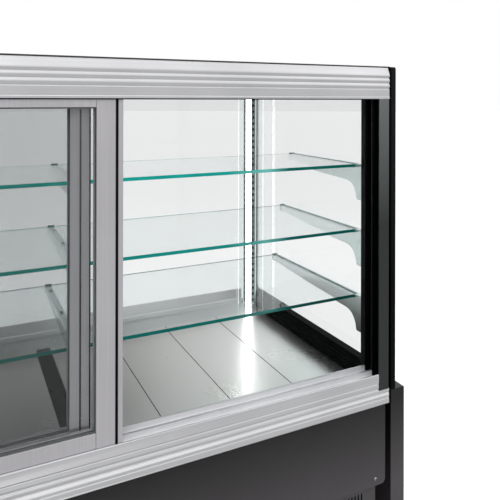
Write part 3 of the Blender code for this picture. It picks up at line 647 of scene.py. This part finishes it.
def air_grille():
    """The punched return-air grille: a flat punched strip, a bright rolled lip and a tall upstand."""
    low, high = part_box("air_grille")
    deck = low.z + 0.0015
    face = low.y + 0.0015
    cell, hole = 0.0080, 0.0038
    count = int((high.x - low.x) / cell)
    start = (low.x + high.x - count * cell) / 2
    rows = 9
    flat_depth = high.y - face
    margin = flat_depth - rows * cell
    shape = Shape()
    perforate(
        shape, (start, face + margin * 0.55, deck), (1, 0, 0), (0, 1, 0), (count, rows), (cell, cell),
        (hole, hole)
    )
    edges = (start, start + count * cell)
    for y0, y1 in ((face, face + margin * 0.55), (high.y - margin * 0.45, high.y)):
        shape.add(
            [(edges[0], y0, deck), (edges[1], y0, deck), (edges[1], y1, deck), (edges[0], y1, deck)],
            [(0, 1, 2, 3)]
        )
    strip = shape.piece("grille_strip", [GRILLE_STEEL], replaces=["air_grille"], slot="brushed_steel")
    thicken(strip, SHEET)
    post_reach, post_overlap = 0.0526, 0.0176
    leg = post_reach - post_overlap
    upstand = Shape()
    up_rows, foot = 2, 0.0050
    up_count = int((edges[1] - edges[0] - 2 * leg) / cell)
    up_start = -up_count * cell / 2
    y = face - SHEET
    perforate(
        upstand, (up_start, y, deck + foot), (1, 0, 0), (0, 0, 1), (up_count, up_rows), (cell, cell),
        (hole, hole)
    )
    up_edges = (up_start, up_start + up_count * cell)
    for z0, z1 in ((deck + 0.0003, deck + foot), (deck + foot + up_rows * cell, high.z)):
        upstand.add(
            [(up_edges[0], y, z0), (up_edges[1], y, z0), (up_edges[1], y, z1), (up_edges[0], y, z1)],
            [(0, 1, 2, 3)]
        )
    panel = upstand.piece("grille_upstand", [GRILLE_STEEL], slot="brushed_steel")
    thicken(panel, 0.0010, 1.0)
    lip = Shape()
    lip.box(up_edges, (face + 0.0002, face + 0.0030), (deck + 0.0002, deck + 0.0026))
    lip.piece("grille_lip", [TRAY_STEEL], slot="brushed_steel", bevel=0.0011, segments=3)
    hem = Shape()
    hem.box(up_edges, (face - 0.0016, face + 0.0006), (high.z - 0.0030, high.z))
    hem.piece("upstand_hem", [TRAY_STEEL], slot="brushed_steel", bevel=0.0007)


def louvres():
    """The lower cover with its close row of upright slots."""
    low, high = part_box("louvre_panel")
    pitch, slot = 0.010, 0.0052
    margin = 0.035
    count = int((high.x - low.x - 2 * margin) / pitch)
    start = -count * pitch / 2
    slot_low, slot_high = low.z + 0.040, high.z - 0.012
    shape = Shape()
    row = slot_high - slot_low + 0.006
    perforate(
        shape, (
            start, high.y, slot_low - 0.003
        ), (1, 0, 0), (0, 0, 1), (count, 1), (pitch, row), (slot, row - 0.006), 0.25
    )
    x0, x1, z0, z1 = low.x, high.x, low.z, high.z
    edges = ((x0, start, z0, z1), (start + count * pitch, x1, z0, z1))
    for left, right, bottom, top in edges:
        shape.add(
            [(left, high.y, bottom), (right, high.y, bottom), (right, high.y, top), (left, high.y, top)],
            [(0, 1, 2, 3)]
        )
    for bottom, top in ((z0, slot_low - 0.003), (slot_high + 0.003, z1)):
        left, right = start, start + count * pitch
        shape.add(
            [(left, high.y, bottom), (right, high.y, bottom), (right, high.y, top), (left, high.y, top)],
            [(0, 1, 2, 3)]
        )
    panel = shape.piece("louvre_sheet", [CHARCOAL], replaces=["louvre_panel"], slot="charcoal_paint")
    thicken(panel, SHEET, 1.0 if panel.data.polygons[0].normal.y < 0 else -1.0)


def corner_lights():
    """The lamp post in each front corner: housing, a lit lens between slotted strips, and clear flanges."""
    for name, side in SIDES:
        low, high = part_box(f"corner_light_{name}")
        back = low.y
        end = low.x if side < 0 else high.x
        inward = -side

        def at(u, v):
            return end + inward * u, back + v

        near, far = Vector(at(0.0577, 0.0080)), Vector(at(0.0220, 0.0420))
        across = (far - near).normalized()
        out = Vector((-across.y, across.x))
        if out.x * inward < 0:
            out = -out
        width = (far - near).length
        recess, rim = 0.0022, 0.0012
        flat = 0.0048

        def facing(u, v):
            """A point of the lit face's plan: u across from its near edge, v out of it."""
            return tuple(near + across * u + out * v)

        housing = Shape()
        plan = [facing(0, 0), facing(rim, 0), facing(rim, -recess), facing(width - flat, -recess)]
        plan += [
            facing(width - flat, 0), facing(width, 0), facing(width - 0.006, -0.0070), facing(0.004, -0.0070)
        ]
        housing.prism(plan, "Z", low.z, high.z)
        housing.piece(
            f"lamp_housing_{name}", [HOUSING_GLOW], replaces=[
                f"corner_light_{name}"
            ], slot="lamp_profile", bevel=0.0004
        )
        lens_low, lens_high = 0.0098, 0.0298
        diffuser = Shape()
        crown = (lens_high - lens_low) * 0.2
        lens = [(lens_low, 0.0003 - recess), (lens_high, 0.0003 - recess), (lens_high, -0.0008)]
        lens += [(lens_high - crown, 0.0), (lens_low + crown, 0.0), (lens_low, -0.0008)]
        diffuser.prism([facing(u, v) for u, v in lens], "Z", low.z + 0.004, high.z - 0.004)
        diffuser.piece(f"lamp_diffuser_{name}", [DIFFUSER], slot="lamp_profile", bevel=0.0002)
        strips, slot_shade_sheets = Shape(), Shape()
        pitch = 0.0215
        rows = int((high.z - low.z - 0.01) / pitch)
        flat_across = Vector((*across, 0))
        spans = ((rim + 0.0002, lens_low - 0.0002, 0.34), (lens_high + 0.0002, width - flat - 0.0002, 0.58))
        for start, stop, share in spans:
            origin = Vector((*facing(start, -0.0008), low.z + 0.005))
            slot_size = ((stop - start) * share, 0.0095)
            perforate(
                strips, origin, flat_across, (0, 0, 1), (1, rows), (stop - start, pitch), slot_size, 0.4
            )
            # a dark sheet under each slotted strip paints the shade seen through its slots
            corners = [
                facing(start, 0.0002 - recess), facing(stop, 0.0002 - recess), facing(stop, 0.0005 - recess)
            ]
            slot_shade_sheets.prism(corners + [facing(start, 0.0005 - recess)], "Z", low.z + 0.004, high.z - 0.004)
        made = strips.piece(f"lamp_strips_{name}", [SLOT_STEEL], slot="lamp_profile")
        thicken(made, 0.0006, 0.0)
        slot_shade_sheets.piece(f"lamp_slot_shade_{name}", [SLOT_SHADE], slot="lamp_profile")
        wings, beads = Shape(), Shape()
        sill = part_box("air_grille")[1].z + 0.0010
        tip, root = 0.0758, 0.0580
        wings.prism(
            [at(root, 0.0070), at(tip, 0.0070), at(tip, 0.0080), at(root, 0.0080)], "Z", low.z, high.z
        )
        beads.prism(
            [at(tip, 0.0066), at(tip + 0.0012, 0.0066), at(tip + 0.0012, 0.0084), at(tip, 0.0084)], "Z",
            low.z, high.z
        )
        wings.prism(
            [at(0.0218, 0.0424), at(0.0222, 0.0434), at(0.0030, 0.0560), at(0.0024, 0.0552)], "Z", sill,
            high.z
        )
        beads.prism(
            [at(0.0012, 0.0550), at(0.0028, 0.0550), at(0.0028, 0.0564), at(0.0012, 0.0564)], "Z", sill,
            high.z
        )
        wings.piece(f"lamp_wings_{name}", [WING_CLEAR], slot="clear_glass")
        beads.piece(f"lamp_beads_{name}", [BEAD_GLOW], slot="lamp_profile", bevel=0.0004)


# Painted light: the lamp housing glows, for the light that spills on it from the lens.
HOUSING_GLOW = lamp("housing_painted_glow", (0.95, 1.0, 0.995), 0.45)
# Painted light: the beads on the clear flanges glow.
BEAD_GLOW = lamp("bead_painted_glow", (0.97, 1.0, 1.0), 1.1)
# Painted shade seen through the slots of the lamp strips.
SLOT_SHADE = plastic("slot_painted_shade", (0.060, 0.088, 0.083), 0.5)
WING_CLEAR = pane("clear_wing", (0.93, 0.97, 0.965))


def screws():
    """Pan-head screws with a cross recess on the covers that come off."""
    shape = Shape()
    service_low, service_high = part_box("service_panel")
    louvre_low, louvre_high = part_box("louvre_panel")
    places = [(x, service_high.y, service_low.z + 0.018) for x in (-0.715, 0.0, 0.715)]
    places += [(x, louvre_high.y, louvre_low.z + 0.018) for x in (-0.700, 0.0, 0.700)]
    for x, y, z in places:
        turn = Matrix.Translation((x, y, z)) @ Matrix.Rotation(-math.pi / 2, 4, "X")
        head = [
            (0, 0.0001), (0.0042, 0.0001), (0.0042, 0.0008), (0.0034, 0.0018), (0.0018, 0.0023), (0, 0.0023)
        ]
        shape.lathe(head, turn, 18)
        for wide, tall in ((0.0022, 0.0005), (0.0005, 0.0022)):
            shape.box((x - wide, x + wide), (y + 0.0022, y + 0.0025), (z - tall, z + tall), 1)
    shape.piece("cover_screws", [ZINC, RUBBER], slot="zinc_sheet")


def machinery():
    """Fins and pipes round the condenser, pipes and a terminal box on the compressor, and the inside coil."""
    low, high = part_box("condenser")
    fins = Shape()
    count = 58
    pitch = (high.x - low.x) / count
    for i in range(count):
        x = low.x + pitch * (i + 0.35)
        fins.box((x, x + 0.0006), (low.y + 0.001, high.y - 0.001), (low.z + 0.004, high.z - 0.004))
    ring(fins, (low.x, high.x), (low.y, high.y), (low.z, high.z), 0.0030, 1)
    for row in range(5):
        z = low.z + 0.02 + row * 0.0325
        for y in (low.y + 0.014, high.y - 0.014):
            turn = Matrix.Translation((low.x + 0.002, y, z)) @ Matrix.Rotation(math.pi / 2, 4, "Y")
            length = high.x - low.x - 0.004
            fins.lathe([(0, 0), (0.004, 0), (0.004, length), (0, length)], turn, 10, 2)
    fins.piece("condenser_coil", [FIN_ALUMINIUM, ZINC, COPPER], replaces=["condenser"], slot="coil_aluminium")
    pot_low, pot_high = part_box("compressor")
    middle = (pot_low + pot_high) / 2
    box = Shape()
    box.box(
        (middle.x - 0.030, middle.x + 0.030), (pot_high.y - 0.010, pot_high.y + 0.018),
        (middle.z - 0.03, middle.z + 0.03)
    )
    box.piece("terminal_box", [DARK_PLASTIC], slot="compressor_enamel", bevel=0.003, segments=3)
    route = [(middle.x + 0.070, middle.y, middle.z), (middle.x + 0.11, middle.y, middle.z + 0.02)]
    route += [
        (middle.x + 0.22, middle.y + 0.10, middle.z + 0.04), (low.x - 0.03, low.y + 0.02, high.z - 0.03)
    ]
    route += [(low.x + 0.004, low.y + 0.014, high.z - 0.034)]
    tube("discharge_pipe", route, 0.004, COPPER)
    tub_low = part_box("well_tub")[0]
    coil = Shape()
    for i in range(70):
        x = -0.60 + i * 0.0085
        coil.box((x, x + 0.0006), (-0.05, 0.05), (tub_low.z + 0.03, tub_low.z + 0.11))
    for row in range(3):
        for y in (-0.03, 0.03):
            z = tub_low.z + 0.045 + row * 0.025
            turn = Matrix.Translation((-0.62, y, z)) @ Matrix.Rotation(math.pi / 2, 4, "Y")
            coil.lathe([(0, 0), (0.0045, 0), (0.0045, 0.63), (0, 0.63)], turn, 10, 1)
    coil.box((-0.61, -0.606), (-0.055, 0.055), (tub_low.z + 0.012, tub_low.z + 0.115))
    coil.box((-0.004, 0.0), (-0.055, 0.055), (tub_low.z + 0.012, tub_low.z + 0.115))
    coil.piece("cooling_coil", [FIN_ALUMINIUM, COPPER], slot="coil_aluminium")


def channel_light_and_groove_shade():
    """A bright liner in each door channel of the sill, partly a real liner and partly painted light that
    lifts the channel's shade, and black seal strips in each groove of the uprights, which also paint the
    grooves' deep shade.
    """
    rail_low, rail_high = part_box("bottom_rail")
    light_liners = Shape()
    for start in TRACKS:
        ys = (rail_high.y - start + 0.0007, rail_high.y - start - DOOR_THICKNESS - 0.0007)
        floor_z = rail_high.z - SILL_CHANNEL
        xs = (rail_low.x + 0.0330, rail_high.x - 0.0330)
        light_liners.box(xs, ys, (floor_z + 0.00005, floor_z + 0.00020))
        wall = rail_high.y - start - DOOR_THICKNESS - 0.0010
        light_liners.box(xs, (wall + 0.00005, wall + 0.00020), (floor_z, rail_high.z - 0.0006))
    light_liners.piece("track_light_liners", [TRACK_LINER_LIGHT], slot="satin_aluminium")
    for name, side in SIDES:
        low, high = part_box(f"rear_jamb_{name}")
        mouth = high.x if side < 0 else low.x
        # black strips in the grooves: partly a real seal, partly painted shade of the deep grooves
        groove_strips_and_shade = Shape()
        for start in TRACKS:
            ys = (high.y - start + 0.0007, high.y - start - DOOR_THICKNESS - 0.0007)
            xs = (mouth + side * (JAMB_NOTCH - 0.0001), mouth + side * (JAMB_NOTCH - 0.0005))
            groove_strips_and_shade.box(xs, ys, (low.z + 0.002, high.z))
        groove_strips_and_shade.piece(f"jamb_groove_strips_and_shade_{name}", [PILE_AND_SHADOW_BLACK], slot="foot_black")


def tray_seam_shadows():
    """A black strip that paints the shadow line between neighbouring trays."""
    seam_shadow_strips = Shape()
    for number in (1, 2, 3, 5, 6, 7):
        low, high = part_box(f"deck_tray_{number}")
        x, top = high.x + 0.0003, high.z
        seam_shadow_strips.box((x - 0.0008, x + 0.0008), (low.y + 0.001, high.y - 0.001), (top - 0.0006, top + 0.0001))
    seam_shadow_strips.piece("tray_seam_shadows", [PILE_AND_SHADOW_BLACK], slot="foot_black")


def head_rail_shadow():
    """A black strip under the head rail's rear edge, between the uprights, that paints the shadow gap under
    the rail.
    """
    low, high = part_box("head_rail")
    rail_shadow_strip = Shape()
    rail_shadow_strip.box((low.x + 0.0330, high.x - 0.0330), (high.y - 0.0038, high.y - 0.0004), (low.z - 0.0024, low.z))
    rail_shadow_strip.piece("head_rail_shadow", [PILE_AND_SHADOW_BLACK], slot="foot_black")


def glass_seals():
    """Silicone in the two front corners, and a black seal round the edge of each side glass."""
    low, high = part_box("front_glass")
    bead = Shape()
    for side in (-1, 1):
        edge = side * (abs(low.x) - 0.0005)
        bead.box(
            (edge - side * 0.0035, edge), (high.y + 0.0001, high.y + 0.0016), (low.z + 0.050, high.z - 0.022)
        )
    bead.piece("corner_silicone", [SILICONE], slot="clear_glass", bevel=0.0005)
    for name, side in SIDES:
        g_low, g_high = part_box(f"side_glass_{name}")
        outer = g_low.x if side < 0 else g_high.x
        seal = Shape()
        x0, x1 = outer - side * 0.0004, outer - side * 0.0004 + side * 0.0005
        width = 0.004
        spans = (
            (g_low.y, g_low.y + width, g_low.z, g_high.z), (g_high.y - width, g_high.y, g_low.z, g_high.z)
        )
        spans += (
            (g_low.y, g_high.y, g_low.z, g_low.z + width), (g_low.y, g_high.y, g_high.z - width, g_high.z)
        )
        for y0, y1, z0, z1 in spans:
            seal.box((x0, x1), (y0, y1), (z0, z1))
        seal.piece(f"side_seal_{name}", [RUBBER], slot="black_anodised")


SILICONE = plastic("clear_silicone", (0.70, 0.73, 0.73), 0.35)


# ---------------------------------------------------------------- stage

def direct_rays(nodes, links):
    """1 for what the camera sees straight or through glass, 0 for light and reflections."""
    path = nodes.new("ShaderNodeLightPath")
    total = nodes.new("ShaderNodeMath")
    total.operation = "ADD"
    links.new(path.outputs["Glossy Depth"], total.inputs[0])
    links.new(path.outputs["Diffuse Depth"], total.inputs[1])
    direct = nodes.new("ShaderNodeMath")
    direct.operation = "LESS_THAN"
    direct.inputs[1].default_value = 0.5
    links.new(total.outputs["Value"], direct.inputs[0])
    return direct.outputs["Value"]


def floor():
    """A pale floor that meets the white backdrop, and a quieter one for light and reflections."""
    mesh = bpy.data.meshes.new("floor")
    shape = bmesh.new()
    bmesh.ops.create_circle(shape, cap_ends=True, segments=96, radius=60.0)
    shape.to_mesh(mesh)
    shape.free()
    obj = bpy.data.objects.new("floor", mesh)
    bpy.context.scene.collection.objects.link(obj)
    paint = Paint("floor_white", (0.90, 0.90, 0.90), 0.9)
    nodes, links = paint.nodes, paint.links
    paint.colour(paint.ramp(paint.noise(0.6), [(0.0, 0.44), (1.0, 0.46)]))
    paint.shader.inputs["Emission Color"].default_value = (1.0, 1.0, 1.0, 1.0)
    paint.shader.inputs["Emission Strength"].default_value = 0.66
    quiet = nodes.new("ShaderNodeBsdfDiffuse")
    links.new(paint.ramp(paint.along("Y", -1.0, 0.6), [(0.0, 0.92), (1.0, 0.52)]), quiet.inputs["Color"])
    mix = nodes.new("ShaderNodeMixShader")
    links.new(direct_rays(nodes, links), mix.inputs["Fac"])
    links.new(quiet.outputs["BSDF"], mix.inputs[1])
    links.new(paint.shader.outputs["BSDF"], mix.inputs[2])
    links.new(mix.outputs["Shader"], nodes["Material Output"].inputs["Surface"])
    mesh.materials.append(paint.material)


def area_light(name, place, target, size, power, mirrored=True):
    data = bpy.data.lights.new(name, "AREA")
    data.shape = "RECTANGLE"
    data.size, data.size_y = size
    data.energy = power
    obj = bpy.data.objects.new(name, data)
    obj.location = place
    obj.rotation_euler = (Vector(target) - Vector(place)).to_track_quat("-Z", "Y").to_euler()
    obj.visible_glossy = mirrored
    obj.visible_transmission = mirrored
    bpy.context.scene.collection.objects.link(obj)


def studio_world():
    """A white backdrop to look at, and a studio of soft panels for light and reflections."""
    world = bpy.data.worlds.new("studio")
    bpy.context.scene.world = world
    world.use_nodes = True
    nodes, links = world.node_tree.nodes, world.node_tree.links
    background = nodes["Background"]
    split = nodes.new("ShaderNodeSeparateXYZ")
    links.new(nodes.new("ShaderNodeTexCoord").outputs["Generated"], split.inputs["Vector"])

    def graded(axis, stops):
        """Radiance along one axis of the direction, from pairs of direction (-1 to 1) and grey or colour."""
        ramp = nodes.new("ShaderNodeValToRGB")
        while len(ramp.color_ramp.elements) < len(stops):
            ramp.color_ramp.elements.new(0.5)
        for element, (position, tone) in zip(ramp.color_ramp.elements, stops):
            element.position = (position + 1) / 2
            element.color = (*tone, 1.0) if isinstance(tone, tuple) else (tone, tone, tone, 1.0)
        shift = nodes.new("ShaderNodeMapRange")
        shift.inputs["From Min"].default_value = -1.0
        links.new(split.outputs[axis], shift.inputs["Value"])
        links.new(shift.outputs["Result"], ramp.inputs["Fac"])
        return ramp.outputs["Color"]

    def blend(factor, low, high):
        mix = nodes.new("ShaderNodeMix")
        mix.data_type = "RGBA"
        for socket, value in (
            (mix.inputs["Factor"], factor), (mix.inputs["A"], low), (mix.inputs["B"], high)
        ):
            if isinstance(value, tuple):
                socket.default_value = value
            else:
                links.new(value, socket)
        return mix.outputs["Result"]

    staff_side = nodes.new("ShaderNodeMix")
    staff_side.data_type = "RGBA"
    staff_side.blend_type = "MULTIPLY"
    staff_side.inputs["Factor"].default_value = 1.0
    links.new(graded("Z", STAFF_SIDE), staff_side.inputs["A"])
    links.new(graded("X", STAFF_WASH), staff_side.inputs["B"])
    front_panel = blend(graded("X", RIGHT_EDGES), graded("Z", FRONT_RIGHT), graded("Z", FRONT_PANEL))
    front_side = blend(graded("X", PANEL_EDGES), front_panel, graded("Z", FRONT_DIM))
    studio = blend(graded("Y", [(-0.15, 0.0), (0.15, 1.0)]), front_side, staff_side.outputs["Result"])
    final = blend(direct_rays(nodes, links), studio, (1.0, 1.0, 1.0, 1.0))
    links.new(final, background.inputs["Color"])


# Radiance against the height of a direction, except that WASH and EDGES run against its X
STAFF_SIDE = [(-1.0, 0.56), (0.0, 0.58), (0.12, 0.62), (0.34, 0.95), (0.60, 1.08), (1.0, 1.05)]
STAFF_WASH = [(-0.70, 1.35), (-0.50, 1.14), (-0.34, 0.92), (0.0, 1.02), (1.0, 1.0)]
MIDDLE_TONE = (0.80, 0.83, 0.82)
RIGHT_TONE = (1.32, 1.48, 1.48)
FRONT_PANEL = [
    (-1.0, 1.0), (0.12, 1.12), (0.30, 0.95), (0.42, MIDDLE_TONE), (0.56, MIDDLE_TONE), (0.75, 0.95)
]
FRONT_RIGHT = [(-1.0, 1.0), (0.12, 1.08), (0.30, 0.95), (0.42, RIGHT_TONE), (0.56, RIGHT_TONE), (0.75, 1.0)]
FRONT_DIM = [(-1.0, 1.0), (0.12, 1.12), (0.32, 0.92), (0.40, 0.06), (0.60, 0.04), (0.80, 0.90)]
PANEL_EDGES = [(-0.29, 0.0), (-0.24, 1.0)]
RIGHT_EDGES = [(-0.46, 0.0), (-0.36, 1.0)]


def camera():
    data = bpy.data.cameras.new("camera")
    data.lens = LENS
    data.sensor_width = 36.0
    data.shift_y = -SHIFT_DOWN
    data.clip_end = 1000.0
    obj = bpy.data.objects.new("camera", data)
    level = Euler((math.pi / 2, 0.0, YAW)).to_matrix().to_4x4()
    obj.matrix_world = Matrix.Translation(EYE) @ level @ Matrix.Rotation(ROLL, 4, "Z")
    bpy.context.scene.collection.objects.link(obj)
    bpy.context.scene.camera = obj


dress_frame()
shelves()
bracket_detail()
for hand, closing in (("right", -1), ("left", 1)):
    door_members(hand, closing)
    meeting_brush(hand, closing)
air_grille()
louvres()
corner_lights()
screws()
machinery()
glass_seals()
channel_light_and_groove_shade()
head_rail_shadow()
tray_seam_shadows()
floor()
studio_world()
area_light("key", (2.2, 3.2, 3.6), (0.0, 0.0, 0.6), (3.0, 3.0), 45.0)
area_light("overhead", (-0.5, -0.5, 4.2), (0.0, 0.0, 0.5), (4.0, 3.0), 40.0)
area_light("far_side", (-3.2, -2.6, 2.6), (0.0, 0.0, 0.6), (2.5, 2.5), 20.0, mirrored=False)
camera()
bpy.context.scene.view_settings.view_transform = "Standard"
